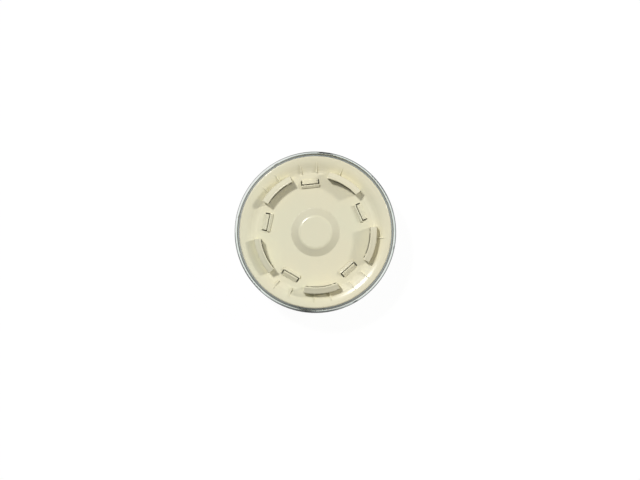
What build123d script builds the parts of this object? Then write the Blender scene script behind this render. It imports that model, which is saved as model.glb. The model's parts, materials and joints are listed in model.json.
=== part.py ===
from build123d import *
import os

# Round ceiling heat detector: a twist-on head with a dished face on a screwed-down base.
# The origin is the centre of the mounting face. +Z points away from the ceiling, towards the
# room, and +Y is the top of the face. All sizes are in millimetres.

os.makedirs("parts", exist_ok=True)

# ---------------------------------------------------------------- driving dimensions

# Outline
ring_radius = 50.0  # outside of the bright trim ring
rim_radius = 47.1  # outside of the cover
base_radius = 47.0
base_height = 11.0
running_gap = 0.05
free_gap = 0.15  # round a screw that passes through without touching
embed = 0.5  # how far a standing form sinks into what carries it
overcut = 1.0  # how far a cut runs past the surface it starts from
mark_width = 1.4
mark_depth = 2.4

# Face, as heights above the ceiling and radii from the centre
face_floor = 30.0
face_rim = 32.28
rim_rise = 0.3  # how much the rim still climbs on its way out
face_thickness = 1.8
slope_foot = 37.5
slope_top = 43.0
button_foot = 15.0
button_top = 9.6
button_height = 2.2
button_thickness = 1.2
button_wall_inset = 1.0
button_top_round = 3.0
button_foot_round = 0.8
slope_foot_round = 6.0
slope_top_round = 11.5
rim_round = 0.9
repeat_count = 5  # fins and clips both come in fives

# Fins
first_fin = 60.0
fin_half_angle = 17.3
fin_inner = 33.95
fin_outer = 38.0
fin_height = 8.7
fin_fall = 2.1  # how much lower the crest is at its outer edge
fin_wall = 0.9
fin_inner_round = 0.5
fin_outer_round = 0.8
inlet_width = 0.35
inlet_lift = 1.3  # how far the fin's inner wall stops above the floor
inlet_half_angle = 16.0
inlet_web_angle = 12.2
inlet_web_width = 1.1

# Clips
first_clip = 24.0
lip_inner = 27.6
lip_outer = 29.5
lip_width = 11.4
lip_low = 0.9
lip_high = 1.9
lip_edge_width = 0.5
lip_edge_drop = 0.2
lip_round = 0.3
lip_corner_round = 0.4
window_outer = 32.5
window_width = 11.3
hook_inner = 29.95
hook_outer = 32.95
hook_stem = 1.2
hook_width = 9.8
hook_peak = 2.1
hook_nose_start = 0.35
hook_nose_end = 0.75
hook_bevel = 0.45
hook_seat_gap = 0.03

# Ribs
rib_angles = (67.2, 88.8, 103.2, 124.8, 139.2, 232.8, 247.2, 268.8, 283.2, 304.8, 319.2, 355.2)
rib_inner = 37.2
rib_outer = 43.3
rib_width = 0.7
rib_inner_drop = 0.5
rib_outer_rise = 0.2

# Mounting base
base_floor = 2.5
base_wall = 2.0
base_rim_round = 0.6
base_mark_height = 4.0
cable_hole_radius = 11.0
cable_collar = 1.5
slot_spacing = 60.0
slot_length = 9.0
slot_width = 4.5
lock_count = 3
first_lock = 10.0
ledge_bottom = 8.0
ledge_thickness = 2.0
ledge_reach = 4.0
ledge_half_angle = 9.0
lug_half_angle = 8.0
lug_end_gap = 0.8
lug_lift_gap = 0.1
stop_gap_angle = 0.3
twist_angle = 18.5
stop_half_angle = 1.2

# Terminals, laid out beside the +X axis and then turned into place
terminal_count = 4
first_terminal = 45.0
terminal_radius = 29.0
terminal_width = 7.0
terminal_screw_at = -7.0
pad_height = 2.5
pad_margin = 1.5
strip_thickness = 0.6
strip_seat = 4.0  # half the length of the flat under the terminal screw
strip_bend = 0.2
crest_start = 2.0
crest_end = 3.8
strip_tip = 6.9
strip_tip_drop = 1.2
strip_tip_bevel = 0.3
wire_clamp_thickness = 0.8
wire_clamp_margin = 0.4
wire_clamp_round = 0.8
terminal_screw_radius = 1.5
terminal_head_radius = 2.9
terminal_head_height = 1.4
blade_length = 8.0
blade_thickness = 0.8
blade_round = 1.0
blade_chamfer = 0.3
rivet_radius = 1.0
rivet_head_radius = 1.9
rivet_head_height = 0.8

# Rear housing
plug_radius = 40.5
plug_wall = 2.0
plug_foot = 6.2
plug_floor = 9.0
plug_floor_thickness = 2.0
shoulder_bottom = 11.4
shoulder_thickness = 2.0
housing_top = 27.0
housing_top_radius = 48.4
housing_wall = 2.0
shoulder_round = 0.8
housing_top_round = 0.5
housing_mark_height = 7.0
housing_mark_out = 0.2
post_radius = 3.0
post_circle = 41.0
post_count = 3
post_hole_depth = 5.0

# Trim ring
ring_band = 1.9
ring_height = 4.5
ring_flange_inner = 45.6
ring_flange_thickness = 0.8
ring_bevel_in = 0.6
ring_bevel_up = 0.8
ring_outer_round = 1.04
ring_inner_round = 0.7

# Chassis
chassis_bottom = 19.0
chassis_thickness = 2.0
chassis_radius = 44.4
chassis_screw_radius = 1.25
chassis_screw_grip = 4.5
chassis_head_radius = 2.4
chassis_head_height = 1.3

# Air chamber
dome_radius = 23.0
dome_flange_radius = 27.5
dome_wall = 0.5
dome_height = 5.9
dome_bevel_in = 2.0
dome_bevel_down = 2.5
dome_bevel_shift = 0.2
dome_round = 1.5
gasket_thickness = 0.6
dome_screw_circle = 25.4
small_screw_radius = 0.8
small_head_radius = 1.5
small_head_height = 1.0
small_screw_count = 4
first_small_screw = 45.0
dome_screw_length = 2.6
vent_position = (8.0, 12.0)
vent_radius = 1.6
vent_bore_radius = 0.25
vent_head_radius = 2.6
vent_head_height = 0.8

# Fixed-temperature unit, on the centre line
sleeve_radius = 3.0
sleeve_bottom = 17.0
sleeve_bore = 1.8
seal_thickness = 0.4
sleeve_flange_radius = 5.0
sleeve_flange_thickness = 0.6
sleeve_top = 30.2
plunger_radius = 0.9
plunger_top = 29.8
collar_radius = 1.75
collar_bottom = 22.0
collar_thickness = 1.0
bore_bottom = 19.6
bore_top = 27.4
bore_step = 0.5
collector_radius = 7.6
collector_thickness = 0.8
collector_lift = 0.1
cap_height = 0.6
cap_top_margin = 0.6
cap_foot_margin = 1.4
spring_wire = 0.25
spring_turns = 4
spring_end_gap = 0.02
nut_flats = 9.0
nut_thickness = 1.8

# Rate-of-rise unit, to one side of the centre line
rate_x = -18.0
port_radius = 6.2
diaphragm_radius = 8.8
diaphragm_thickness = 0.15
diaphragm_rise = 1.1
diaphragm_rim = 7.0
crown_inset = 0.3  # from the edge of the port to the edge of the domed part
clamp_radius = 11.8
clamp_thickness = 1.15
clamp_screw_circle = 10.4
clamp_screw_length = 3.0
stud_radius = 0.9
stud_pad_radius = 2.4
stud_pad_thickness = 0.5
stud_gap = 0.25

# Contacts, laid out along Y at the centre line and at the rate-of-rise unit
leaf_top = 15.9
leaf_thickness = 0.3
leaf_width = 4.0
leaf_root = -17.0
leaf_tip = 9.2
leaf_taper_start = 2.0
leaf_taper = 0.5
leaf_tip_round = 1.0
contact_y = 7.0
point_radius = 1.1
point_height = 0.5
point_play = 0.02
tab_thickness = 0.4
tab_tail = -29.0
tail_hole_inset = 1.6
tail_hole_radius = 0.7
block_depth = 8.0
block_bottom = 14.0
block_left = -21.4
block_right = 3.4
block_screw_spacing = 8.0
block_screw_length = 6.5
block_slot_play = 0.1
fixed_block_front = 12.2
fixed_block_depth = 6.0
fixed_screw_length = 8.0
fixed_recess_depth = 1.2
fixed_recess_play = 0.2
fixed_strip_bottom = 12.2
fixed_strip_width = 5.0
fixed_strip_tail = 22.0
fixed_tail_width = 3.0
fixed_strip_step = 0.6
fixed_strip_round = 1.5
adjuster_radius = 1.0
adjuster_bottom = 11.4
adjuster_slot_width = 0.3
adjuster_slot_depth = 0.4
rate_gap = 1.18
temp_gap = 1.8
wire_radius = 0.55
wire_corner = 0.6
wire_bend = 3.5

# Worked-out sizes
chassis_top = chassis_bottom + chassis_thickness
pad_top = base_floor + pad_height
strip_top = pad_top + strip_thickness
wire_clamp_top = strip_top + wire_clamp_thickness
lug_top = ledge_bottom - lug_lift_gap
blade_bottom = plug_floor - blade_thickness
housing_floor = plug_floor + plug_floor_thickness
shoulder_top = shoulder_bottom + shoulder_thickness
dome_top = chassis_top + gasket_thickness + dome_height
leaf_bottom = leaf_top - leaf_thickness
point_bottom = leaf_bottom - point_height
diaphragm_top = chassis_bottom - seal_thickness
clamp_recess = diaphragm_top - diaphragm_thickness
clamp_bottom = clamp_recess - clamp_thickness
head_seat = adjuster_bottom + fixed_recess_depth
block_middle = (block_left + block_right) / 2
fixed_block_middle = fixed_block_front + fixed_block_depth / 2
contact_block_middle = leaf_root - block_depth / 2
crown_edge = port_radius - crown_inset


# ---------------------------------------------------------------- shared helpers


def nearest_corner(section, x, z):
    """The corner of a section being drawn that is nearest to the point (x, z)."""
    return section.sketch_local.vertices().sort_by_distance((x, z))[0]


def ring_sector(inner, outer, half_angle):
    """A piece of a flat ring, centred on the +X axis."""
    with BuildSketch(mode=Mode.PRIVATE) as sector:
        with BuildLine():
            outer_arc = CenterArc((0, 0), outer, -half_angle, 2 * half_angle)
            inner_arc = CenterArc((0, 0), inner, -half_angle, 2 * half_angle)
            Line(outer_arc @ 0, inner_arc @ 0)
            Line(outer_arc @ 1, inner_arc @ 1)
        make_face()
    return sector.sketch


def screw(shank_radius, length, head_radius, head_height):
    """A slotted screw whose head rests on z = 0 and whose shank runs down."""
    with BuildPart(mode=Mode.PRIVATE) as form:
        with BuildSketch():
            Circle(head_radius)
        extrude(amount=head_height)
        fillet(form.edges().group_by(Axis.Z)[-1], head_height / 3)
        with BuildSketch():
            Circle(shank_radius)
        extrude(amount=-length)
        with BuildSketch(Plane.XY.offset(head_height)):
            Rectangle(2 * head_radius, head_radius / 4)
        extrude(amount=-head_height / 2, mode=Mode.SUBTRACT)
    return form.part


def hanging_screw(shank_radius, length, head_radius, head_height):
    """The same screw upside down: head under z = 0, shank running up."""
    return screw(shank_radius, length, head_radius, head_height).rotate(Axis.X, 180)


def turned(form, azimuth):
    """A part laid out beside the +X axis, turned about the centre line."""
    return form.rotate(Axis.Z, azimuth)


# ---------------------------------------------------------------- front cover


def fin_form():
    """One hollow fin, from azimuth 0 to twice its half angle."""
    with BuildPart(mode=Mode.PRIVATE) as fin:
        with BuildSketch(Plane.XZ) as section:
            with BuildLine():
                Polyline(
                    (fin_inner, face_floor - face_thickness),
                    (fin_inner, face_floor + fin_height),
                    (fin_outer, face_floor + fin_height - fin_fall),
                    (fin_outer, face_floor - face_thickness),
                    close=True,
                )
            make_face()
            fillet(nearest_corner(section, fin_inner, face_floor + fin_height), fin_inner_round)
            fillet(nearest_corner(section, fin_outer, face_floor + fin_height), fin_outer_round)
        revolve(axis=Axis.Z, revolution_arc=2 * fin_half_angle)
    return fin.part


def fin_hollow_form():
    """The air way inside one fin, with its inlet slot in front of the inner wall."""
    start = face_floor - face_thickness - overcut
    web_top = face_floor + inlet_lift
    hollow_top = face_floor + fin_height - fin_fall - fin_wall
    hollow_inner = fin_inner + fin_wall
    hollow_outer = fin_outer - fin_wall
    with BuildPart(mode=Mode.PRIVATE) as hollow:
        with BuildSketch(Plane.XZ):
            with BuildLine():
                Polyline(
                    (fin_inner - inlet_width, start),
                    (fin_inner - inlet_width, web_top),
                    (hollow_inner, web_top),
                    (hollow_inner, hollow_top),
                    (hollow_outer, hollow_top),
                    (hollow_outer, start),
                    close=True,
                )
            make_face()
        revolve(axis=Axis.Z, revolution_arc=2 * inlet_half_angle)
        # two webs are left standing across the slot
        with BuildSketch(Plane.XY.offset(start)):
            for web_angle in (-inlet_web_angle, inlet_web_angle):
                with PolarLocations(fin_inner, 1, start_angle=inlet_half_angle + web_angle):
                    Rectangle(2 * (fin_outer - fin_inner), inlet_web_width)
        extrude(amount=web_top - start, mode=Mode.SUBTRACT)
    return hollow.part


def clip_lip_form():
    """The raised lip on the inner side of one clip window, at azimuth 0."""
    with BuildPart(mode=Mode.PRIVATE) as lip:
        with BuildSketch(Plane.XZ) as section:
            with BuildLine():
                Polyline(
                    (lip_inner, face_floor - embed),
                    (lip_inner, face_floor + lip_low),
                    (lip_outer - lip_edge_width, face_floor + lip_high),
                    (lip_outer, face_floor + lip_high - lip_edge_drop),
                    (lip_outer, face_floor - embed),
                    close=True,
                )
            make_face()
            fillet(nearest_corner(section, lip_inner, face_floor + lip_low), lip_round)
            crest = nearest_corner(section, lip_outer - lip_edge_width, face_floor + lip_high)
            fillet(crest, lip_round)
        extrude(amount=lip_width / 2, both=True)
        fillet(lip.edges().filter_by(Axis.Z).sort_by(Axis.X)[:2], lip_corner_round)
    return lip.part


def rib_form():
    """One thin gusset on the slope, nearly level along its top, at azimuth 0."""
    with BuildPart(mode=Mode.PRIVATE) as rib:
        with BuildSketch(Plane.XZ):
            with BuildLine():
                Polyline(
                    (rib_inner, face_floor - embed),
                    (rib_inner, face_rim - rib_inner_drop),
                    (rib_outer, face_rim + rib_outer_rise),
                    (rib_outer, face_floor - embed),
                    close=True,
                )
            make_face()
        extrude(amount=rib_width / 2, both=True)
        fillet(rib.edges().filter_by(Axis.Z).sort_by(Axis.X)[:2], rib_width / 3)
        top = rib.faces().sort_by(Axis.Z)[-1]
        fillet(top.edges(), rib_width / 5)
    return rib.part


with BuildPart() as front_cover:
    underside = face_floor - face_thickness
    button_crest = face_floor + button_height
    skirt_bottom = housing_top + ring_flange_thickness + running_gap
    with BuildSketch(Plane.XZ) as cover_section:
        with BuildLine():
            Polyline(
                (0, button_crest),
                (button_top, button_crest),
                (button_foot, face_floor),
                (slope_foot, face_floor),
                (slope_top, face_rim),
                (rim_radius, face_rim + rim_rise),
                (rim_radius, skirt_bottom),
                (rim_radius - face_thickness, skirt_bottom),
                (rim_radius - face_thickness, face_rim - face_thickness),
                (slope_top, face_rim - face_thickness),
                (slope_foot, underside),
                (button_foot - button_wall_inset, underside),
                (button_top - button_wall_inset, button_crest - button_thickness),
                (0, button_crest - button_thickness),
                close=True,
            )
        make_face()
        fillet(nearest_corner(cover_section, button_top, button_crest), button_top_round)
        fillet(nearest_corner(cover_section, button_foot, face_floor), button_foot_round)
        fillet(nearest_corner(cover_section, slope_foot, face_floor), slope_foot_round)
        fillet(nearest_corner(cover_section, slope_top, face_rim), slope_top_round)
        fillet(nearest_corner(cover_section, rim_radius, face_rim), rim_round)
    revolve(axis=Axis.Z)
    with PolarLocations(0, repeat_count, start_angle=first_fin - fin_half_angle):
        add(fin_form())
    with PolarLocations(0, repeat_count, start_angle=first_fin - inlet_half_angle):
        add(fin_hollow_form(), mode=Mode.SUBTRACT)
    with PolarLocations(0, repeat_count, start_angle=first_clip):
        add(clip_lip_form())
    with BuildSketch(Plane.XY.offset(underside - overcut)):
        with PolarLocations((lip_outer + window_outer) / 2, repeat_count, start_angle=first_clip):
            Rectangle(window_outer - lip_outer, window_width)
    extrude(amount=face_thickness + overcut + lip_high, mode=Mode.SUBTRACT)
    for rib_angle in rib_angles:
        add(turned(rib_form(), rib_angle))
front_cover.part.label = "front_cover"
export_step(front_cover.part, "parts/front_cover.step")

# ---------------------------------------------------------------- trim ring

with BuildPart() as trim_ring:
    band_top = housing_top + ring_height
    band_inner = ring_radius - ring_band
    with BuildSketch(Plane.XZ) as ring_section:
        with BuildLine():
            Polyline(
                (ring_flange_inner, housing_top),
                (ring_radius - ring_bevel_in, housing_top),
                (ring_radius, housing_top + ring_bevel_up),
                (ring_radius, band_top),
                (band_inner, band_top),
                (band_inner, housing_top + ring_flange_thickness),
                (ring_flange_inner, housing_top + ring_flange_thickness),
                close=True,
            )
        make_face()
        fillet(nearest_corner(ring_section, ring_radius, band_top), ring_outer_round)
        fillet(nearest_corner(ring_section, band_inner, band_top), ring_inner_round)
    revolve(axis=Axis.Z)
trim_ring.part.label = "trim_ring"
export_step(trim_ring.part, "parts/trim_ring.step")

# ---------------------------------------------------------------- rear housing

with BuildPart() as rear_housing:
    plug_inner = plug_radius - plug_wall
    with BuildSketch(Plane.XZ) as housing_section:
        with BuildLine():
            Polyline(
                (0, plug_floor),
                (plug_inner, plug_floor),
                (plug_inner, plug_foot),
                (plug_radius, plug_foot),
                (plug_radius, shoulder_bottom),
                (base_radius, shoulder_bottom),
                (housing_top_radius, housing_top),
                (housing_top_radius - housing_wall, housing_top),
                (base_radius - housing_wall, shoulder_top),
                (plug_inner, shoulder_top),
                (plug_inner, housing_floor),
                (0, housing_floor),
                close=True,
            )
        make_face()
        fillet(nearest_corner(housing_section, base_radius, shoulder_bottom), shoulder_round)
        top_corner = nearest_corner(housing_section, housing_top_radius, housing_top)
        fillet(top_corner, housing_top_round)
    revolve(axis=Axis.Z)
    # bayonet lugs
    lug_tip = plug_radius + ledge_reach - lug_end_gap
    lug = ring_sector(plug_radius - embed, lug_tip, lug_half_angle)
    with BuildSketch(Plane.XY.offset(plug_foot)):
        with PolarLocations(0, lock_count, start_angle=first_lock):
            add(lug)
    extrude(amount=lug_top - plug_foot)
    # posts for the chassis screws
    with BuildSketch(Plane.XY.offset(shoulder_top)):
        with PolarLocations(post_circle, post_count):
            Circle(post_radius)
    extrude(amount=chassis_bottom - shoulder_top)
    with BuildSketch(Plane.XY.offset(chassis_bottom)):
        with PolarLocations(post_circle, post_count):
            Circle(chassis_screw_radius + running_gap)
    extrude(amount=-post_hole_depth, mode=Mode.SUBTRACT)
    # rivet holes for the contact blades
    with BuildSketch(Plane.XY.offset(plug_floor)):
        with PolarLocations(0, terminal_count, start_angle=first_terminal):
            with Locations((terminal_radius, blade_length / 2)):
                Circle(rivet_radius + running_gap)
    extrude(amount=plug_floor_thickness, mode=Mode.SUBTRACT)
    # alignment mark on the outside wall
    with BuildSketch(Plane.XY.offset(shoulder_top)):
        with PolarLocations(base_radius + housing_mark_out, 1, start_angle=270):
            Rectangle(mark_width, mark_depth)
    extrude(amount=housing_mark_height)
rear_housing.part.label = "rear_housing"
export_step(rear_housing.part, "parts/rear_housing.step")

# ---------------------------------------------------------------- mounting base

with BuildPart() as mounting_base:
    wall_inner = base_radius - base_wall
    with BuildSketch():
        Circle(base_radius)
        Circle(cable_hole_radius, mode=Mode.SUBTRACT)
        with GridLocations(slot_spacing, 0, 2, 1):
            SlotOverall(slot_length, slot_width, mode=Mode.SUBTRACT)
    extrude(amount=base_floor)
    with BuildSketch(Plane.XY.offset(base_floor)):
        Circle(base_radius)
        Circle(wall_inner, mode=Mode.SUBTRACT)
    extrude(amount=base_height - base_floor)
    outer_rim = mounting_base.edges().group_by(Axis.Z)[-1].sort_by(SortBy.RADIUS)[-1]
    fillet(outer_rim, base_rim_round)
    # ledges that hold the lugs of the head
    ledge = ring_sector(wall_inner - ledge_reach, wall_inner + embed, ledge_half_angle)
    with BuildSketch(Plane.XY.offset(ledge_bottom)):
        with PolarLocations(0, lock_count, start_angle=first_lock):
            add(ledge)
    extrude(amount=ledge_thickness)
    # stops at both ends of the twist
    stop = ring_sector(wall_inner - ledge_reach, wall_inner + embed, stop_half_angle)
    stop_turn = lug_half_angle + stop_half_angle + stop_gap_angle
    for stop_angle in (first_lock - stop_turn, first_lock + twist_angle + stop_turn):
        with BuildSketch(Plane.XY.offset(base_floor)):
            with PolarLocations(0, lock_count, start_angle=stop_angle):
                add(stop)
        extrude(amount=ledge_bottom - base_floor)
    # terminal pads with their screw holes
    with BuildSketch(Plane.XY.offset(base_floor)):
        with PolarLocations(0, terminal_count, start_angle=first_terminal):
            with Locations((terminal_radius, terminal_screw_at)):
                Rectangle(terminal_width + pad_margin, terminal_width + pad_margin)
                Circle(terminal_screw_radius + running_gap, mode=Mode.SUBTRACT)
    extrude(amount=pad_height)
    # low collar around the cable hole
    with BuildSketch(Plane.XY.offset(base_floor)):
        Circle(cable_hole_radius + cable_collar)
        Circle(cable_hole_radius, mode=Mode.SUBTRACT)
    extrude(amount=cable_collar)
    # alignment mark on the outside wall
    with BuildSketch(Plane.XY.offset(base_height / 2)):
        with PolarLocations(base_radius, 1, start_angle=270):
            Rectangle(mark_width, mark_depth)
    extrude(amount=base_mark_height)
mounting_base.part.label = "mounting_base"
export_step(mounting_base.part, "parts/mounting_base.step")

# ---------------------------------------------------------------- base terminals

with BuildPart() as contact_strip:
    strip_crest = blade_bottom - running_gap
    crest_underside = strip_crest - strip_thickness
    with BuildSketch(Plane.YZ.offset(terminal_radius - terminal_width / 2)):
        with BuildLine():
            Polyline(
                (terminal_screw_at - strip_seat, pad_top),
                (terminal_screw_at + strip_seat, pad_top),
                (crest_start + strip_bend, crest_underside),
                (crest_end - strip_bend, crest_underside),
                (strip_tip - strip_tip_bevel, crest_underside - strip_tip_drop),
                (strip_tip, strip_crest - strip_tip_drop),
                (crest_end, strip_crest),
                (crest_start, strip_crest),
                (terminal_screw_at + strip_seat - strip_bend, strip_top),
                (terminal_screw_at - strip_seat, strip_top),
                close=True,
            )
        make_face()
    extrude(amount=terminal_width)
    with Locations((terminal_radius, terminal_screw_at, strip_top)):
        Hole(terminal_screw_radius + running_gap, depth=strip_thickness)

for number in range(terminal_count):
    with BuildPart() as base_contact:
        add(turned(contact_strip.part, first_terminal + number * 360 / terminal_count))
    base_contact.part.label = f"base_contact_{number + 1}"
    export_step(base_contact.part, f"parts/base_contact_{number + 1}.step")

with BuildPart() as terminal_clamps:
    with BuildSketch(Plane.XY.offset(strip_top)):
        with PolarLocations(0, terminal_count, start_angle=first_terminal):
            with Locations((terminal_radius, terminal_screw_at)):
                clamp_side = terminal_width - wire_clamp_margin
                RectangleRounded(clamp_side, clamp_side, wire_clamp_round)
                Circle(terminal_screw_radius + running_gap, mode=Mode.SUBTRACT)
    extrude(amount=wire_clamp_thickness)
terminal_clamps.part.label = "terminal_clamps"
export_step(terminal_clamps.part, "parts/terminal_clamps.step")

with BuildPart() as terminal_screws:
    terminal_screw = screw(
        terminal_screw_radius,
        wire_clamp_top - base_floor,
        terminal_head_radius,
        terminal_head_height,
    )
    with PolarLocations(0, terminal_count, start_angle=first_terminal):
        with Locations((terminal_radius, terminal_screw_at, wire_clamp_top)):
            add(terminal_screw)
terminal_screws.part.label = "terminal_screws"
export_step(terminal_screws.part, "parts/terminal_screws.step")

# ---------------------------------------------------------------- head blades

with BuildPart() as blade_plate:
    with BuildSketch(Plane.XY.offset(blade_bottom)):
        with Locations((terminal_radius, blade_length / 2)):
            RectangleRounded(terminal_width, blade_length, blade_round)
            Circle(rivet_radius + running_gap, mode=Mode.SUBTRACT)
    extrude(amount=blade_thickness)
    lead_in = blade_plate.faces().sort_by(Axis.Z)[0].edges().filter_by(Axis.X)
    chamfer(lead_in, blade_chamfer)

for number in range(terminal_count):
    with BuildPart() as head_blade:
        add(turned(blade_plate.part, first_terminal + number * 360 / terminal_count))
    head_blade.part.label = f"head_blade_{number + 1}"
    export_step(head_blade.part, f"parts/head_blade_{number + 1}.step")

with BuildPart() as blade_rivets:
    with BuildSketch(Plane.XY.offset(blade_bottom)):
        with PolarLocations(0, terminal_count, start_angle=first_terminal):
            with Locations((terminal_radius, blade_length / 2)):
                Circle(rivet_radius)
    extrude(amount=housing_floor - blade_bottom)
    with BuildSketch(Plane.XY.offset(housing_floor)):
        with PolarLocations(0, terminal_count, start_angle=first_terminal):
            with Locations((terminal_radius, blade_length / 2)):
                Circle(rivet_head_radius)
    extrude(amount=rivet_head_height)
    fillet(blade_rivets.edges().group_by(Axis.Z)[-1], rivet_head_height / 2)
blade_rivets.part.label = "blade_rivets"
export_step(blade_rivets.part, "parts/blade_rivets.step")

# ---------------------------------------------------------------- chassis


def hook_form():
    """One snap hook standing on the chassis, at azimuth 0."""
    catch = face_floor + hook_seat_gap
    with BuildPart(mode=Mode.PRIVATE) as hook:
        with BuildSketch(Plane.XZ):
            with BuildLine():
                Polyline(
                    (hook_inner, chassis_top - embed),
                    (hook_inner, face_floor + hook_peak - hook_bevel),
                    (hook_inner + hook_nose_start, face_floor + hook_peak),
                    (hook_inner + hook_nose_end, face_floor + hook_peak),
                    (hook_outer, face_floor + hook_bevel),
                    (hook_outer, catch),
                    (hook_inner + hook_stem, catch),
                    (hook_inner + hook_stem, chassis_top - embed),
                    close=True,
                )
            make_face()
        extrude(amount=hook_width / 2, both=True)
    return hook.part


with BuildPart() as chassis:
    with BuildSketch(Plane.XY.offset(chassis_bottom)):
        Circle(chassis_radius)
        with PolarLocations(post_circle, post_count):
            Circle(chassis_screw_radius + free_gap, mode=Mode.SUBTRACT)
        with PolarLocations(dome_screw_circle, small_screw_count, start_angle=first_small_screw):
            Circle(small_screw_radius + running_gap, mode=Mode.SUBTRACT)
        Circle(sleeve_radius + running_gap, mode=Mode.SUBTRACT)
        with Locations(vent_position):
            Circle(vent_radius + running_gap, mode=Mode.SUBTRACT)
        with Locations((rate_x, 0)):
            Circle(port_radius, mode=Mode.SUBTRACT)
            with PolarLocations(clamp_screw_circle, small_screw_count, start_angle=first_small_screw):
                Circle(small_screw_radius + running_gap, mode=Mode.SUBTRACT)
        for block_y in (contact_block_middle, fixed_block_middle):
            with Locations((block_middle, block_y)):
                with GridLocations(block_screw_spacing, 0, 2, 1):
                    Circle(small_screw_radius + running_gap, mode=Mode.SUBTRACT)
    extrude(amount=chassis_thickness)
    with PolarLocations(0, repeat_count, start_angle=first_clip):
        add(hook_form())
chassis.part.label = "chassis"
export_step(chassis.part, "parts/chassis.step")

with BuildPart() as chassis_screws:
    chassis_screw = screw(
        chassis_screw_radius,
        chassis_thickness + chassis_screw_grip,
        chassis_head_radius,
        chassis_head_height,
    )
    with PolarLocations(post_circle, post_count):
        with Locations((0, 0, chassis_top)):
            add(chassis_screw)
chassis_screws.part.label = "chassis_screws"
export_step(chassis_screws.part, "parts/chassis_screws.step")

# ---------------------------------------------------------------- air chamber

with BuildPart() as dome_gasket:
    with BuildSketch(Plane.XY.offset(chassis_top)):
        Circle(dome_flange_radius)
        Circle(dome_radius - dome_wall, mode=Mode.SUBTRACT)
        with PolarLocations(dome_screw_circle, small_screw_count, start_angle=first_small_screw):
            Circle(small_screw_radius + free_gap, mode=Mode.SUBTRACT)
    extrude(amount=gasket_thickness)
dome_gasket.part.label = "dome_gasket"
export_step(dome_gasket.part, "parts/dome_gasket.step")

with BuildPart() as chamber_dome:
    flange_bottom = chassis_top + gasket_thickness
    with BuildSketch(Plane.XZ) as dome_section:
        with BuildLine():
            Polyline(
                (sleeve_radius + running_gap, dome_top),
                (dome_radius - dome_bevel_in, dome_top),
                (dome_radius, dome_top - dome_bevel_down),
                (dome_radius, flange_bottom + dome_wall),
                (dome_flange_radius, flange_bottom + dome_wall),
                (dome_flange_radius, flange_bottom),
                (dome_radius - dome_wall, flange_bottom),
                (dome_radius - dome_wall, dome_top - dome_bevel_down - dome_bevel_shift),
                (dome_radius - dome_bevel_in - dome_bevel_shift, dome_top - dome_wall),
                (sleeve_radius + running_gap, dome_top - dome_wall),
                close=True,
            )
        make_face()
        fillet(nearest_corner(dome_section, dome_radius - dome_bevel_in, dome_top), dome_round)
    revolve(axis=Axis.Z)
    with BuildSketch(Plane.XY.offset(flange_bottom)):
        with PolarLocations(dome_screw_circle, small_screw_count, start_angle=first_small_screw):
            Circle(small_screw_radius + free_gap)
    extrude(amount=dome_wall, mode=Mode.SUBTRACT)
chamber_dome.part.label = "chamber_dome"
export_step(chamber_dome.part, "parts/chamber_dome.step")

with BuildPart() as dome_screws:
    with PolarLocations(dome_screw_circle, small_screw_count, start_angle=first_small_screw):
        with Locations((0, 0, chassis_top + gasket_thickness + dome_wall)):
            add(screw(small_screw_radius, dome_screw_length, small_head_radius, small_head_height))
dome_screws.part.label = "dome_screws"
export_step(dome_screws.part, "parts/dome_screws.step")

with BuildPart() as leak_vent:
    with BuildSketch(Plane.XY.offset(chassis_bottom)):
        with Locations(vent_position):
            Circle(vent_radius)
            Circle(vent_bore_radius, mode=Mode.SUBTRACT)
    extrude(amount=chassis_thickness)
    with BuildSketch(Plane.XY.offset(chassis_top)):
        with Locations(vent_position):
            Circle(vent_head_radius)
            Circle(vent_bore_radius, mode=Mode.SUBTRACT)
    extrude(amount=vent_head_height)
leak_vent.part.label = "leak_vent"
export_step(leak_vent.part, "parts/leak_vent.step")

# ---------------------------------------------------------------- fixed-temperature unit

with BuildPart() as sleeve_seal:
    with BuildSketch(Plane.XY.offset(dome_top)):
        Circle(sleeve_flange_radius)
        Circle(sleeve_radius + running_gap, mode=Mode.SUBTRACT)
    extrude(amount=seal_thickness)
sleeve_seal.part.label = "sleeve_seal"
export_step(sleeve_seal.part, "parts/sleeve_seal.step")

with BuildPart() as plunger_sleeve:
    flange_base = dome_top + seal_thickness
    neck_bottom = bore_top + bore_step
    with BuildSketch(Plane.XZ):
        with BuildLine():
            Polyline(
                (plunger_radius + running_gap, sleeve_bottom),
                (sleeve_radius, sleeve_bottom),
                (sleeve_radius, flange_base),
                (sleeve_flange_radius, flange_base),
                (sleeve_flange_radius, flange_base + sleeve_flange_thickness),
                (sleeve_radius, flange_base + sleeve_flange_thickness),
                (sleeve_radius, sleeve_top),
                (sleeve_bore, sleeve_top),
                (sleeve_bore, neck_bottom),
                (plunger_radius + running_gap, neck_bottom),
                (plunger_radius + running_gap, bore_top),
                (sleeve_bore, bore_top),
                (sleeve_bore, bore_bottom),
                (plunger_radius + running_gap, bore_bottom),
                close=True,
            )
        make_face()
    revolve(axis=Axis.Z)
plunger_sleeve.part.label = "plunger_sleeve"
export_step(plunger_sleeve.part, "parts/plunger_sleeve.step")

with BuildPart() as sleeve_nut:
    with BuildSketch(Plane.XY.offset(chassis_bottom - nut_thickness)):
        RegularPolygon(nut_flats / 2, 6, major_radius=False)
        Circle(sleeve_radius + running_gap / 2, mode=Mode.SUBTRACT)
    extrude(amount=nut_thickness)
sleeve_nut.part.label = "sleeve_nut"
export_step(sleeve_nut.part, "parts/sleeve_nut.step")

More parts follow.
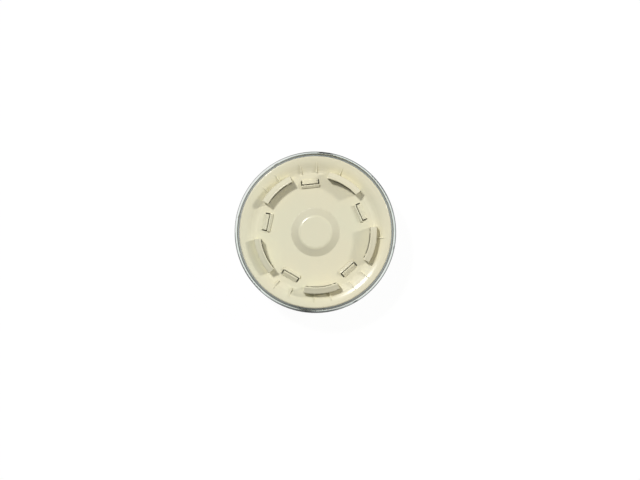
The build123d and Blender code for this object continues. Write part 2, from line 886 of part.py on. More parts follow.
with BuildPart() as heat_collector:
    collector_top = sleeve_top + collector_lift
    with BuildSketch(Plane.XZ):
        with BuildLine():
            Polyline(
                (0, sleeve_top + cap_height),
                (sleeve_radius + cap_top_margin, sleeve_top + cap_height),
                (sleeve_radius + cap_foot_margin, collector_top),
                (collector_radius, collector_top),
                (collector_radius, collector_top - collector_thickness),
                (sleeve_radius + running_gap, collector_top - collector_thickness),
                (sleeve_radius + running_gap, collector_top),
                (0, collector_top),
                close=True,
            )
        make_face()
    revolve(axis=Axis.Z)
heat_collector.part.label = "heat_collector"
export_step(heat_collector.part, "parts/heat_collector.step")

with BuildPart() as fusible_slug:
    with BuildSketch(Plane.XY.offset(neck_bottom)):
        Circle(sleeve_bore - running_gap)
        Circle(plunger_radius + running_gap, mode=Mode.SUBTRACT)
    extrude(amount=sleeve_top - neck_bottom)
fusible_slug.part.label = "fusible_slug"
export_step(fusible_slug.part, "parts/fusible_slug.step")

with BuildPart() as plunger:
    with BuildSketch(Plane.XY.offset(leaf_top + running_gap)):
        Circle(plunger_radius)
    extrude(amount=plunger_top - leaf_top - running_gap)
    with BuildSketch(Plane.XY.offset(collar_bottom)):
        Circle(collar_radius)
    extrude(amount=collar_thickness)
    fillet(plunger.edges().group_by(Axis.Z)[0], plunger_radius / 2)
plunger.part.label = "plunger"
export_step(plunger.part, "parts/plunger.step")

with BuildPart() as plunger_spring:
    spring_bottom = collar_bottom + collar_thickness + spring_wire + spring_end_gap
    spring_length = bore_top - spring_bottom - spring_wire - spring_end_gap
    with BuildLine():
        coil = Helix(
            pitch=spring_length / spring_turns,
            height=spring_length,
            radius=(plunger_radius + sleeve_bore) / 2,
            center=(0, 0, spring_bottom),
        )
    with BuildSketch(Plane(origin=coil @ 0, z_dir=coil % 0)):
        Circle(spring_wire)
    sweep()
plunger_spring.part.label = "plunger_spring"
export_step(plunger_spring.part, "parts/plunger_spring.step")

# ---------------------------------------------------------------- rate-of-rise unit

rate_plane = Plane(origin=(rate_x, 0, 0), x_dir=(1, 0, 0), z_dir=(0, -1, 0))
rate_axis = Axis((rate_x, 0, 0), (0, 0, 1))

with BuildPart() as diaphragm_gasket:
    with BuildSketch(Plane.XY.offset(diaphragm_top)):
        with Locations((rate_x, 0)):
            Circle(diaphragm_radius)
            Circle(diaphragm_rim, mode=Mode.SUBTRACT)
    extrude(amount=seal_thickness)
diaphragm_gasket.part.label = "diaphragm_gasket"
export_step(diaphragm_gasket.part, "parts/diaphragm_gasket.step")

with BuildPart() as diaphragm:
    rim_bottom = diaphragm_top - diaphragm_thickness
    with BuildSketch(rate_plane):
        with BuildLine():
            upper_crest = (0, diaphragm_top + diaphragm_rise)
            lower_crest = (0, rim_bottom + diaphragm_rise)
            TangentArc(upper_crest, (crown_edge, diaphragm_top), tangent=(1, 0))
            Polyline(
                (crown_edge, diaphragm_top),
                (diaphragm_radius, diaphragm_top),
                (diaphragm_radius, rim_bottom),
                (crown_edge, rim_bottom),
            )
            TangentArc(lower_crest, (crown_edge, rim_bottom), tangent=(1, 0))
            Line(lower_crest, upper_crest)
        make_face()
    revolve(axis=rate_axis)
diaphragm.part.label = "diaphragm"
export_step(diaphragm.part, "parts/diaphragm.step")

with BuildPart() as diaphragm_clamp:
    with BuildSketch(rate_plane):
        with BuildLine():
            Polyline(
                (diaphragm_rim, clamp_bottom),
                (clamp_radius, clamp_bottom),
                (clamp_radius, chassis_bottom),
                (diaphragm_radius + running_gap, chassis_bottom),
                (diaphragm_radius + running_gap, clamp_recess),
                (diaphragm_rim, clamp_recess),
                close=True,
            )
        make_face()
    revolve(axis=rate_axis)
    with BuildSketch(Plane.XY.offset(clamp_bottom)):
        with Locations((rate_x, 0)):
            with PolarLocations(clamp_screw_circle, small_screw_count, start_angle=first_small_screw):
                Circle(small_screw_radius + running_gap)
    extrude(amount=chassis_bottom - clamp_bottom, mode=Mode.SUBTRACT)
diaphragm_clamp.part.label = "diaphragm_clamp"
export_step(diaphragm_clamp.part, "parts/diaphragm_clamp.step")

with BuildPart() as clamp_screws:
    clamp_screw = hanging_screw(
        small_screw_radius,
        clamp_screw_length,
        small_head_radius,
        small_head_height,
    )
    with Locations((rate_x, 0, clamp_bottom)):
        with PolarLocations(clamp_screw_circle, small_screw_count, start_angle=first_small_screw):
            add(clamp_screw)
clamp_screws.part.label = "clamp_screws"
export_step(clamp_screws.part, "parts/clamp_screws.step")

with BuildPart() as diaphragm_stud:
    stud_top = rim_bottom + diaphragm_rise - stud_gap
    with BuildSketch(Plane.XY.offset(leaf_top + running_gap)):
        with Locations((rate_x, 0)):
            Circle(stud_radius)
    extrude(amount=stud_top - leaf_top - running_gap)
    with BuildSketch(Plane.XY.offset(stud_top - stud_pad_thickness)):
        with Locations((rate_x, 0)):
            Circle(stud_pad_radius)
    extrude(amount=stud_pad_thickness)
    fillet(diaphragm_stud.edges().group_by(Axis.Z)[0], stud_radius / 2)
diaphragm_stud.part.label = "diaphragm_stud"
export_step(diaphragm_stud.part, "parts/diaphragm_stud.step")

# ---------------------------------------------------------------- contacts


def leaf_form():
    """A contact leaf at x = 0, tapering towards its tip, with a hole for its contact point."""
    with BuildPart(mode=Mode.PRIVATE) as leaf:
        with BuildSketch(Plane.XY.offset(leaf_bottom)):
            with BuildLine():
                Polyline(
                    (-leaf_width / 2, leaf_root + running_gap),
                    (leaf_width / 2, leaf_root + running_gap),
                    (leaf_width / 2, leaf_taper_start),
                    (leaf_width / 2 - leaf_taper, leaf_tip),
                    (-leaf_width / 2 + leaf_taper, leaf_tip),
                    (-leaf_width / 2, leaf_taper_start),
                    close=True,
                )
            make_face()
            with Locations((0, contact_y)):
                Circle(point_radius / 2, mode=Mode.SUBTRACT)
        extrude(amount=leaf_thickness)
        fillet(leaf.edges().filter_by(Axis.Z).group_by(Axis.Y)[-1], leaf_tip_round)
    return leaf.part


def point_form():
    """The silver contact point riveted in a leaf's tip, at x = 0."""
    with BuildPart(mode=Mode.PRIVATE) as point:
        with BuildSketch(Plane.XY.offset(point_bottom)):
            with Locations((0, contact_y)):
                Circle(point_radius)
        extrude(amount=point_height)
        fillet(point.edges().group_by(Axis.Z)[0], point_height / 3)
        with BuildSketch(Plane.XY.offset(leaf_bottom)):
            with Locations((0, contact_y)):
                Circle(point_radius / 2 - point_play)
        extrude(amount=leaf_thickness)
    return point.part


def tab_form():
    """The fixed tab that carries a leaf through the contact block, at x = 0."""
    with BuildPart(mode=Mode.PRIVATE) as tab:
        with BuildSketch(Plane.XY.offset(leaf_top - tab_thickness)):
            with Locations((0, (tab_tail + leaf_root) / 2)):
                Rectangle(leaf_width, leaf_root - tab_tail)
            with Locations((0, tab_tail + tail_hole_inset)):
                Circle(tail_hole_radius, mode=Mode.SUBTRACT)
        extrude(amount=tab_thickness)
    return tab.part


def fixed_strip_form():
    """The fixed strip that carries a contact adjuster under a leaf, at x = 0."""
    strip_front = contact_y - fixed_strip_width / 2
    strip_back = fixed_block_front + fixed_block_depth + fixed_strip_step
    with BuildPart(mode=Mode.PRIVATE) as strip:
        with BuildSketch(Plane.XY.offset(fixed_strip_bottom)):
            with Locations((0, (strip_front + strip_back) / 2)):
                Rectangle(fixed_strip_width, strip_back - strip_front)
            with Locations((0, (strip_front + fixed_strip_tail) / 2)):
                Rectangle(fixed_tail_width, fixed_strip_tail - strip_front)
            with Locations((0, contact_y)):
                Circle(adjuster_radius + running_gap, mode=Mode.SUBTRACT)
            with Locations((0, fixed_strip_tail - tail_hole_inset)):
                Circle(tail_hole_radius, mode=Mode.SUBTRACT)
        extrude(amount=strip_thickness)
        fillet(strip.edges().filter_by(Axis.Z).group_by(Axis.Y)[0], fixed_strip_round)
    return strip.part


with BuildPart() as contact_block:
    with BuildSketch(Plane.XY.offset(block_bottom)):
        with Locations((block_middle, contact_block_middle)):
            Rectangle(block_right - block_left, block_depth)
            with GridLocations(block_screw_spacing, 0, 2, 1):
                Circle(small_screw_radius + running_gap, mode=Mode.SUBTRACT)
    extrude(amount=chassis_bottom - block_bottom)
    with BuildSketch(Plane.XY.offset(leaf_top - tab_thickness)):
        for leaf_x in (rate_x, 0):
            with Locations((leaf_x, contact_block_middle)):
                Rectangle(leaf_width + block_slot_play, block_depth)
    extrude(amount=tab_thickness, mode=Mode.SUBTRACT)
contact_block.part.label = "contact_block"
export_step(contact_block.part, "parts/contact_block.step")

with BuildPart() as block_screws:
    block_screw = hanging_screw(
        small_screw_radius,
        block_screw_length,
        small_head_radius,
        small_head_height,
    )
    with Locations((block_middle, contact_block_middle, block_bottom)):
        with GridLocations(block_screw_spacing, 0, 2, 1):
            add(block_screw)
block_screws.part.label = "block_screws"
export_step(block_screws.part, "parts/block_screws.step")

with BuildPart() as rate_leaf_tab:
    with Locations((rate_x, 0, 0)):
        add(tab_form())
rate_leaf_tab.part.label = "rate_leaf_tab"
export_step(rate_leaf_tab.part, "parts/rate_leaf_tab.step")

with BuildPart() as temp_leaf_tab:
    add(tab_form())
temp_leaf_tab.part.label = "temp_leaf_tab"
export_step(temp_leaf_tab.part, "parts/temp_leaf_tab.step")

with BuildPart() as rate_contact_leaf:
    with Locations((rate_x, 0, 0)):
        add(leaf_form())
rate_contact_leaf.part.label = "rate_contact_leaf"
export_step(rate_contact_leaf.part, "parts/rate_contact_leaf.step")

with BuildPart() as temp_contact_leaf:
    add(leaf_form())
temp_contact_leaf.part.label = "temp_contact_leaf"
export_step(temp_contact_leaf.part, "parts/temp_contact_leaf.step")

with BuildPart() as rate_contact_point:
    with Locations((rate_x, 0, 0)):
        add(point_form())
rate_contact_point.part.label = "rate_contact_point"
export_step(rate_contact_point.part, "parts/rate_contact_point.step")

with BuildPart() as temp_contact_point:
    add(point_form())
temp_contact_point.part.label = "temp_contact_point"
export_step(temp_contact_point.part, "parts/temp_contact_point.step")

with BuildPart() as fixed_contact_block:
    with BuildSketch(Plane.XY.offset(adjuster_bottom)):
        with Locations((block_middle, fixed_block_middle)):
            Rectangle(block_right - block_left, fixed_block_depth)
            with GridLocations(block_screw_spacing, 0, 2, 1):
                Circle(small_head_radius + fixed_recess_play, mode=Mode.SUBTRACT)
    extrude(amount=fixed_recess_depth)
    with BuildSketch(Plane.XY.offset(head_seat)):
        with Locations((block_middle, fixed_block_middle)):
            Rectangle(block_right - block_left, fixed_block_depth)
            with GridLocations(block_screw_spacing, 0, 2, 1):
                Circle(small_screw_radius + running_gap, mode=Mode.SUBTRACT)
    extrude(amount=chassis_bottom - head_seat)
    with BuildSketch(Plane.XY.offset(fixed_strip_bottom)):
        for leaf_x in (rate_x, 0):
            with Locations((leaf_x, fixed_block_middle)):
                Rectangle(fixed_strip_width + block_slot_play, fixed_block_depth)
    extrude(amount=strip_thickness, mode=Mode.SUBTRACT)
fixed_contact_block.part.label = "fixed_contact_block"
export_step(fixed_contact_block.part, "parts/fixed_contact_block.step")

with BuildPart() as fixed_block_screws:
    fixed_screw = hanging_screw(
        small_screw_radius,
        fixed_screw_length,
        small_head_radius,
        small_head_height,
    )
    with Locations((block_middle, fixed_block_middle, head_seat)):
        with GridLocations(block_screw_spacing, 0, 2, 1):
            add(fixed_screw)
fixed_block_screws.part.label = "fixed_block_screws"
export_step(fixed_block_screws.part, "parts/fixed_block_screws.step")

with BuildPart() as rate_fixed_contact:
    with Locations((rate_x, 0, 0)):
        add(fixed_strip_form())
rate_fixed_contact.part.label = "rate_fixed_contact"
export_step(rate_fixed_contact.part, "parts/rate_fixed_contact.step")

with BuildPart() as temp_fixed_contact:
    add(fixed_strip_form())
temp_fixed_contact.part.label = "temp_fixed_contact"
export_step(temp_fixed_contact.part, "parts/temp_fixed_contact.step")

with BuildPart() as contact_adjusters:
    slot_top = adjuster_bottom + adjuster_slot_depth
    for leaf_x, gap in ((rate_x, rate_gap), (0, temp_gap)):
        with BuildSketch(Plane.XY.offset(adjuster_bottom)):
            with Locations((leaf_x, contact_y)):
                Circle(adjuster_radius)
                Rectangle(2 * adjuster_radius, adjuster_slot_width, mode=Mode.SUBTRACT)
        extrude(amount=adjuster_slot_depth)
        with BuildSketch(Plane.XY.offset(slot_top)):
            with Locations((leaf_x, contact_y)):
                Circle(adjuster_radius)
        extrude(amount=point_bottom - gap - slot_top)
contact_adjusters.part.label = "contact_adjusters"
export_step(contact_adjusters.part, "parts/contact_adjusters.step")

# ---------------------------------------------------------------- wires


def rivet_position(number):
    """The top of one blade's rivet inside the head."""
    spot = Vector(terminal_radius, blade_length / 2, housing_floor + rivet_head_height)
    return spot.rotate(Axis.Z, first_terminal + number * 360 / terminal_count)


def wire_route(number, tail, outward):
    """Corners of a lead: up from a rivet, across under the blocks, then in to a tail."""
    start = rivet_position(number) + Vector(0, 0, running_gap)
    turn = tail + Vector(0, outward * wire_bend, 0)
    corners = [start, Vector(start.X, start.Y, strip_middle), Vector(turn.X, turn.Y, strip_middle)]
    if turn.Z > strip_middle:
        corners.append(turn)
    return corners + [tail]


strip_middle = fixed_strip_bottom + strip_thickness / 2
strip_end = fixed_strip_tail + running_gap
tab_middle = leaf_top - tab_thickness / 2
tab_end = tab_tail - running_gap
wire_ends = (
    (1, Vector(rate_x, strip_end, strip_middle), 1),
    (0, Vector(0, strip_end, strip_middle), 1),
    (2, Vector(rate_x, tab_end, tab_middle), -1),
    (3, Vector(0, tab_end, tab_middle), -1),
)

with BuildPart() as lead_wires:
    for number, tail, outward in wire_ends:
        with BuildLine() as route:
            FilletPolyline(*wire_route(number, tail, outward), radius=wire_corner)
        with BuildSketch(Plane(origin=route.line @ 0, z_dir=route.line % 0)):
            Circle(wire_radius)
        sweep()
lead_wires.part.label = "lead_wires"
export_step(lead_wires.part, "parts/lead_wires.step")
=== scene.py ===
import json
import math

import bmesh
import bpy
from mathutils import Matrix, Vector

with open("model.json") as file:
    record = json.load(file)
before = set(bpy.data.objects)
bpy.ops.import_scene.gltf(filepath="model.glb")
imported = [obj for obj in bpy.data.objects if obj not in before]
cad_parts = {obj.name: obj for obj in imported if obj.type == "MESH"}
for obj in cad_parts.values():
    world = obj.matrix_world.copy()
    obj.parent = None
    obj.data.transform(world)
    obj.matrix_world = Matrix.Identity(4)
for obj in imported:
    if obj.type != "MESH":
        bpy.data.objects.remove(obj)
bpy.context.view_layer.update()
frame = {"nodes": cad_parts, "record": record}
nodes = frame["nodes"]
slot_of = {part["node"]: part["material_slot"] for part in frame["record"]["subparts"]}

scene = bpy.context.scene
scene.view_settings.view_transform = "Standard"


# ---------------------------------------------------------------- node helpers


def add(tree, kind, inputs=None, **settings):
    """A new shader node. Inputs are given by name or number, as sockets to link or as values."""
    node = tree.nodes.new(kind)
    for key, value in settings.items():
        setattr(node, key, value)
    for key, value in (inputs or {}).items():
        if isinstance(value, bpy.types.NodeSocket):
            tree.links.new(value, node.inputs[key])
        else:
            node.inputs[key].default_value = value
    return node


def math_node(tree, operation, *values, clamp=False):
    """The result of one math operation."""
    node = add(tree, "ShaderNodeMath", dict(enumerate(values)), operation=operation, use_clamp=clamp)
    return node.outputs[0]


def ramp(tree, value, low, high, to_low=0.0, to_high=1.0):
    """A value taken smoothly from one range to another, and kept inside it."""
    inputs = {"Value": value, "From Min": low, "From Max": high, "To Min": to_low, "To Max": to_high}
    node = add(tree, "ShaderNodeMapRange", inputs, interpolation_type="SMOOTHSTEP")
    return node.outputs["Result"]


def mix(tree, factor, first, second, blend="MIX"):
    """Two colours mixed by a factor."""
    node = add(tree, "ShaderNodeMix", data_type="RGBA", blend_type=blend)
    for socket, value in ((node.inputs[0], factor), (node.inputs[6], first), (node.inputs[7], second)):
        if isinstance(value, bpy.types.NodeSocket):
            tree.links.new(value, socket)
        else:
            socket.default_value = value
    return node.outputs[2]


def rgb(colour):
    """A colour with full alpha."""
    return (*colour, 1.0)


def shaded(colour, factor):
    """A colour made darker or lighter by a factor."""
    return rgb([min(1.0, channel * factor) for channel in colour])


def noise(tree, scale, detail=3.0, roughness=0.5, stretch=(1.0, 1.0, 1.0), offset=0.0):
    """Noise in the part's own coordinates. The scale is in features per metre."""
    coordinates = add(tree, "ShaderNodeTexCoord").outputs["Object"]
    mapping = {"Vector": coordinates, "Scale": stretch, "Location": (offset, offset, offset)}
    place = add(tree, "ShaderNodeMapping", mapping).outputs["Vector"]
    inputs = {"Vector": place, "Scale": scale, "Detail": detail, "Roughness": roughness}
    return add(tree, "ShaderNodeTexNoise", inputs).outputs["Fac"]


def edge_mask(tree, radius):
    """Near 1 on edges, and 0 on flat or gently curved faces."""
    rounded = add(tree, "ShaderNodeBevel", {"Radius": radius}, samples=4).outputs[0]
    straight = add(tree, "ShaderNodeNewGeometry").outputs["Normal"]
    dot = add(tree, "ShaderNodeVectorMath", {0: rounded, 1: straight}, operation="DOT_PRODUCT")
    return ramp(tree, dot.outputs["Value"], 0.985, 0.86)


def crevice(tree, distance):
    """Near 1 in open places and lower in corners."""
    inputs = {"Distance": distance}
    return add(tree, "ShaderNodeAmbientOcclusion", inputs, samples=6).outputs["AO"]


def ring_mask(tree, inner, outer):
    """1 between two radii round the centre line, with soft edges."""
    split = add(tree, "ShaderNodeSeparateXYZ", {0: add(tree, "ShaderNodeTexCoord").outputs["Object"]})
    x, y = split.outputs["X"], split.outputs["Y"]
    square = math_node(tree, "MULTIPLY", y, y)
    radius = math_node(tree, "SQRT", math_node(tree, "MULTIPLY_ADD", x, x, square))
    soft = 0.0006
    return math_node(
        tree,
        "MULTIPLY",
        ramp(tree, radius, inner - soft, inner + soft),
        ramp(tree, radius, outer + soft, outer - soft),
    )


def material(name):
    """A new material, its node tree and the socket its shader is linked to."""
    made = bpy.data.materials.new(name)
    made.use_nodes = True
    tree = made.node_tree
    tree.nodes.clear()
    output = add(tree, "ShaderNodeOutputMaterial")
    return made, tree, output.inputs["Surface"]


# ---------------------------------------------------------------- materials


def moulded_plastic(name, colour, cool, warm, rough, rough_spread, peel, wear, dull_and_shaded_bands=()):
    """Injection-moulded plastic: faint flow mottling, orange peel, edges rubbed smoother and painted shade
    in the corners.

    A satin band is a duller ring round the centre line, given by two radii and by how much shade is painted
    on it.
    """
    made, tree, surface = material(name)
    flow = noise(tree, 26.0, detail=2.0, stretch=(1.0, 1.0, 0.4))
    cloud = noise(tree, 140.0, detail=4.0, offset=3.0)
    speck = noise(tree, 2600.0, detail=2.0, offset=7.0)
    tone = mix(tree, ramp(tree, flow, 0.35, 0.65), rgb(cool), rgb(warm))
    tone = mix(tree, ramp(tree, cloud, 0.3, 0.7, 0.0, 0.5), tone, rgb(colour))
    tone = mix(tree, ramp(tree, speck, 0.62, 0.75, 0.0, 0.10), tone, shaded(colour, 0.72))
    edges = edge_mask(tree, 0.00035)
    tone = mix(tree, math_node(tree, "MULTIPLY", edges, wear), tone, shaded(colour, 1.12))
    # painted shade: corners and creases are darkened where less light reaches them
    open_sky = crevice(tree, 0.0025)
    painted_crevice_shade = ramp(tree, open_sky, 0.75, 0.25, 0.0, 0.22)
    tone = mix(tree, painted_crevice_shade, tone, shaded(colour, 0.62))
    handled = noise(tree, 75.0, detail=5.0, roughness=0.6, offset=11.0)
    roughness = ramp(tree, handled, 0.3, 0.7, rough - rough_spread, rough + rough_spread)
    roughness = math_node(tree, "SUBTRACT", roughness, math_node(tree, "MULTIPLY", edges, 0.06))
    ripple = noise(tree, 650.0, detail=2.0, offset=5.0)
    grain = noise(tree, 3800.0, detail=3.0, offset=9.0)
    height = math_node(tree, "ADD", ripple, math_node(tree, "MULTIPLY", grain, 0.22))
    for inner, outer, painted_shade in dull_and_shaded_bands:
        band = ring_mask(tree, inner, outer)
        # painted shade: the band is darkened by its share, and its roughness is raised
        tone = mix(tree, math_node(tree, "MULTIPLY", band, painted_shade), tone, shaded(colour, 0.78))
        roughness = math_node(tree, "ADD", roughness, math_node(tree, "MULTIPLY", band, 0.35))
    bump = add(tree, "ShaderNodeBump", {"Height": height, "Strength": 1.0, "Distance": peel})
    inputs = {
        "Base Color": tone,
        "Roughness": roughness,
        "IOR": 1.5,
        "Normal": bump.outputs["Normal"],
    }
    shader = add(tree, "ShaderNodeBsdfPrincipled", inputs)
    tree.links.new(shader.outputs[0], surface)
    return made


def metal(
    name, colour, rough, spread, brushed=0.0, direction=(1.0, 1.0, 1.0), tarnish=None, soil_and_shade=0.5, reach=0.0015
):
    """Metal with fine marks, uneven polish, darker film and painted shade in the corners, and brighter
    edges.

    The corners are darkened by soil and painted shade, and reach is how near the next surface must be, in
    metres.
    """
    made, tree, surface = material(name)
    film = noise(tree, 160.0, detail=5.0, roughness=0.65, offset=2.0)
    marks = noise(tree, 900.0, detail=4.0, stretch=direction, offset=4.0)
    dull = tarnish or [channel * 0.72 for channel in colour]
    tone = mix(tree, ramp(tree, film, 0.42, 0.72, 0.0, 0.55), rgb(colour), rgb(dull))
    tone = mix(tree, ramp(tree, marks, 0.5, 0.75, 0.0, 0.35 * brushed), tone, shaded(colour, 0.7))
    edges = edge_mask(tree, 0.0002)
    tone = mix(tree, math_node(tree, "MULTIPLY", edges, 0.5), tone, shaded(colour, 1.15))
    # painted shade and soil: corners are darkened
    corner = ramp(tree, crevice(tree, reach), 0.8, 0.2, 0.0, soil_and_shade)
    tone = mix(tree, corner, tone, shaded(dull, 0.55 - 0.5 * max(0.0, soil_and_shade - 0.5)))
    roughness = ramp(tree, film, 0.3, 0.7, rough - spread, rough + spread)
    height = math_node(tree, "ADD", marks, math_node(tree, "MULTIPLY", film, 0.5))
    bump = add(tree, "ShaderNodeBump", {"Height": height, "Strength": 1.0, "Distance": 0.000004 * brushed})
    inputs = {
        "Base Color": tone,
        "Metallic": 1.0,
        "Roughness": roughness,
        "Normal": bump.outputs["Normal"],
    }
    shader = add(tree, "ShaderNodeBsdfPrincipled", inputs)
    tree.links.new(shader.outputs[0], surface)
    return made


def rubber(name, colour):
    """Matt moulded rubber with a dusty bloom."""
    made, tree, surface = material(name)
    bloom = noise(tree, 220.0, detail=5.0, roughness=0.7)
    grain = noise(tree, 5200.0, detail=2.0, offset=6.0)
    tone = mix(tree, ramp(tree, bloom, 0.35, 0.75, 0.0, 0.5), rgb(colour), rgb([0.16, 0.155, 0.15]))
    bump = add(tree, "ShaderNodeBump", {"Height": grain, "Strength": 1.0, "Distance": 0.00001})
    inputs = {
        "Base Color": tone,
        "Roughness": ramp(tree, bloom, 0.3, 0.7, 0.7, 0.9),
        "Normal": bump.outputs["Normal"],
    }
    shader = add(tree, "ShaderNodeBsdfPrincipled", inputs)
    tree.links.new(shader.outputs[0], surface)
    return made


CREAM = (0.80, 0.765, 0.575)
CREAM_COOL = (0.783, 0.765, 0.578)
CREAM_WARM = (0.81, 0.765, 0.57)
# inner radius, outer radius and painted shade of the duller rings on the cover
BUTTON_FLANK = (0.0104, 0.0151, 0.75)
SLOPE_FOOT = (0.0362, 0.0396, 0.0)

finishes = {
    "cream_plastic": moulded_plastic(
        "cream_plastic", CREAM, CREAM_COOL, CREAM_WARM, 0.27, 0.04, 0.000006, 0.35
    ),
    "insulator": moulded_plastic(
        "insulator", (0.2, 0.12, 0.07), (0.17, 0.105, 0.065), (0.23, 0.14, 0.08), 0.55, 0.1, 0.00001, 0.3
    ),
    "wire_insulation": moulded_plastic(
        "wire_insulation",
        (0.55, 0.045, 0.035),
        (0.5, 0.04, 0.035),
        (0.6, 0.06, 0.04),
        0.4,
        0.08,
        0.000006,
        0.2,
    ),
    "trim_chrome": metal(
        "trim_chrome",
        (0.85, 0.87, 0.85),
        0.07,
        0.025,
        0.12,
        tarnish=[0.77, 0.8, 0.77],
        # the gap between the ring and the cover is painted dark, as shade
        soil_and_shade=0.95,
        reach=0.0024,
    ),
    "contact_steel": metal("contact_steel", (0.62, 0.62, 0.6), 0.32, 0.08, 1.0, (0.2, 1.0, 1.0)),
    "plated_steel": metal("plated_steel", (0.7, 0.7, 0.68), 0.28, 0.1, 0.8, tarnish=[0.6, 0.58, 0.45]),
    "brass": metal("brass", (0.78, 0.6, 0.3), 0.3, 0.08, 0.8, tarnish=[0.5, 0.36, 0.17]),
    "aluminium": metal("aluminium", (0.78, 0.78, 0.79), 0.36, 0.07, 1.0, (1.0, 0.15, 1.0)),
    "solder": metal("solder", (0.6, 0.61, 0.63), 0.45, 0.12, 1.0, tarnish=[0.4, 0.41, 0.43]),
    "phosphor_bronze": metal("phosphor_bronze", (0.74, 0.5, 0.33), 0.28, 0.07, 0.8, (1.0, 0.2, 1.0)),
    "silver": metal("silver", (0.88, 0.88, 0.87), 0.2, 0.06, 0.4, tarnish=[0.6, 0.57, 0.5]),
    "gasket_rubber": rubber("gasket_rubber", (0.035, 0.034, 0.034)),
}

# the flank of the centre button and the foot of the slope are duller than the rest of the face, and shade is
# painted on the flank
cover_finish = moulded_plastic(
    "cover_plastic",
    CREAM,
    CREAM_COOL,
    CREAM_WARM,
    0.22,
    0.03,
    0.000005,
    0.35,
    dull_and_shaded_bands=(BUTTON_FLANK, SLOPE_FOOT),
)

for name, node in nodes.items():
    node.data.materials.clear()
    node.data.materials.append(cover_finish if name == "front_cover" else finishes[slot_of[name]])


# ---------------------------------------------------------------- floor


def make_floor():
    """A wide pale floor, left open under the object so that its back can be seen from below."""
    inner, outer, steps, level = 0.046, 6.0, 96, -0.0002
    form = bmesh.new()
    rings = []
    for radius in (inner, outer):
        turn = [2 * math.pi * step / steps for step in range(steps)]
        rings.append([form.verts.new((radius * math.cos(a), radius * math.sin(a), level)) for a in turn])
    for step in range(steps):
        after = (step + 1) % steps
        form.faces.new((rings[0][step], rings[1][step], rings[1][after], rings[0][after]))
    mesh = bpy.data.meshes.new("floor")
    form.to_mesh(mesh)
    form.free()
    floor = bpy.data.objects.new("floor", mesh)
    scene.collection.objects.link(floor)
    made, tree, surface = material("floor")
    rays = add(tree, "ShaderNodeLightPath")
    soft = noise(tree, 9.0, detail=3.0)
    paper = mix(tree, soft, rgb([0.80, 0.80, 0.80]), rgb([0.86, 0.86, 0.86]))
    lit = add(tree, "ShaderNodeBsdfDiffuse", {"Color": mix(tree, 0.93, paper, rgb([0.0, 0.0, 0.0]))})
    glow = add(tree, "ShaderNodeEmission", {"Color": rgb([1.0, 1.0, 1.0]), "Strength": 0.96})
    seen = add(tree, "ShaderNodeAddShader", {0: lit.outputs[0], 1: glow.outputs[0]})
    bounce = add(tree, "ShaderNodeBsdfDiffuse", {"Color": rgb([0.42, 0.42, 0.43])})
    front = add(
        tree,
        "ShaderNodeMixShader",
        {0: rays.outputs["Is Camera Ray"], 1: bounce.outputs[0], 2: seen.outputs[0]},
    )
    clear = add(tree, "ShaderNodeBsdfTransparent")
    behind = add(tree, "ShaderNodeNewGeometry").outputs["Backfacing"]
    whole = add(tree, "ShaderNodeMixShader", {0: behind, 1: front.outputs[0], 2: clear.outputs[0]})
    tree.links.new(whole.outputs[0], surface)
    mesh.materials.append(made)


make_floor()


# ---------------------------------------------------------------- light


def toward(azimuth, elevation):
    """The direction from the object to a light."""
    a, e = math.radians(azimuth), math.radians(elevation)
    return Vector((math.cos(e) * math.cos(a), math.cos(e) * math.sin(a), math.sin(e)))


def sun(name, azimuth, elevation, strength, colour, spread):
    """A far lamp. Its place and its spread are in degrees."""
    light = bpy.data.lights.new(name, "SUN")
    light.energy = strength
    light.color = colour
    light.angle = math.radians(spread)
    lamp = bpy.data.objects.new(name, light)
    lamp.rotation_mode = "QUATERNION"
    lamp.rotation_quaternion = (-toward(azimuth, elevation)).to_track_quat("-Z", "Y")
    scene.collection.objects.link(lamp)
    return lamp


key = sun("key", 131, 59, 1.88, (1.0, 1.0, 1.0), 6.5)
second = sun("second", 19, 36, 0.97, (1.0, 0.97, 0.93), 8.0)

# the lamps are kept off the bright ring, where they would make burnt spots: it only mirrors the room
unlit = bpy.data.collections.new("unlit")
unlit.objects.link(nodes["trim_ring"])
for lamp in (key, second):
    lamp.light_linking.receiver_collection = unlit
unlit.collection_objects[0].light_linking.link_state = "EXCLUDE"


# what stands round the object in the ring's mirror image: azimuth, half width and softness in
# degrees, strength, grey level
MIRRORED = (
    (150, 42, 22, 0.8, 1.0),
    (83, 5, 1.5, 0.97, 0.01),
    (-97, 5, 1.5, 0.9, 0.01),
    (-60, 1.5, 0.8, 0.97, 0.01),
    (-11, 0.8, 0.6, 0.9, 0.01),
    (-95, 26, 12, 0.8, 0.01),
)


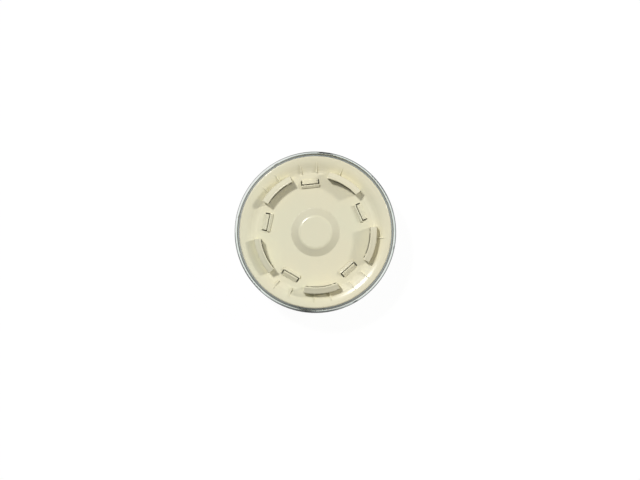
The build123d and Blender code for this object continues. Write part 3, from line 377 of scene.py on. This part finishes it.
def make_world():
    """Soft room light, with bright panels above and dark gaps between them for the bright metal."""
    world = bpy.data.worlds.new("studio")
    scene.world = world
    world.use_nodes = True
    tree = world.node_tree
    tree.nodes.clear()
    out = add(tree, "ShaderNodeOutputWorld")
    rays = add(tree, "ShaderNodeLightPath")
    way = add(tree, "ShaderNodeTexCoord").outputs["Generated"]
    split = add(tree, "ShaderNodeSeparateXYZ", {0: way})
    height = split.outputs["Z"]
    # soft light on everything
    up = ramp(tree, height, 0.0, 1.0, 0.12, 0.24)
    down = ramp(tree, height, -0.02, -0.12, 0.0, 1.0)
    soft = mix(tree, up, rgb([0.0, 0.0, 0.0]), rgb([1.0, 0.985, 0.94]))
    soft = mix(tree, down, soft, rgb([0.62, 0.62, 0.61]))
    # what shiny surfaces see
    sky = ramp(tree, height, 0.15, 0.85, 0.10, 0.95)
    bright = mix(tree, sky, rgb([0.0, 0.0, 0.0]), rgb([0.95, 1.0, 0.97]))
    turn = math_node(tree, "ARCTAN2", split.outputs["Y"], split.outputs["X"])
    degrees = math_node(tree, "MULTIPLY", turn, 180 / math.pi)
    for middle, half, soften, depth, level in MIRRORED:
        apart = math_node(tree, "ABSOLUTE", math_node(tree, "SUBTRACT", degrees, middle))
        inside = ramp(tree, apart, half + soften, half - soften, 0.0, depth)
        bright = mix(tree, inside, bright, rgb([level, level, level]))
    bright = mix(tree, down, bright, rgb([0.45, 0.45, 0.45]))
    light = mix(tree, rays.outputs["Is Glossy Ray"], soft, bright)
    light = mix(tree, rays.outputs["Is Camera Ray"], light, rgb([1.0, 1.0, 1.0]))
    glow = add(tree, "ShaderNodeBackground", {"Color": light, "Strength": 1.0})
    tree.links.new(glow.outputs[0], out.inputs["Surface"])


make_world()


# ---------------------------------------------------------------- camera

LENS = 135.0
SENSOR = 36.0
FACE = 0.030  # height of a plane near the face, which the next two values hold for
VIEW_WIDTH = 0.39616  # width of the part of that plane that the picture shows
AIM = (0.0028474, -0.0047663)  # the point of that plane in the middle of the picture

camera_data = bpy.data.cameras.new("camera")
camera_data.lens = LENS
camera_data.sensor_width = SENSOR
camera = bpy.data.objects.new("camera", camera_data)
camera.location = (*AIM, FACE + VIEW_WIDTH * LENS / SENSOR)
camera_data.clip_start = 0.01
camera_data.clip_end = 20.0
scene.collection.objects.link(camera)
scene.camera = camera
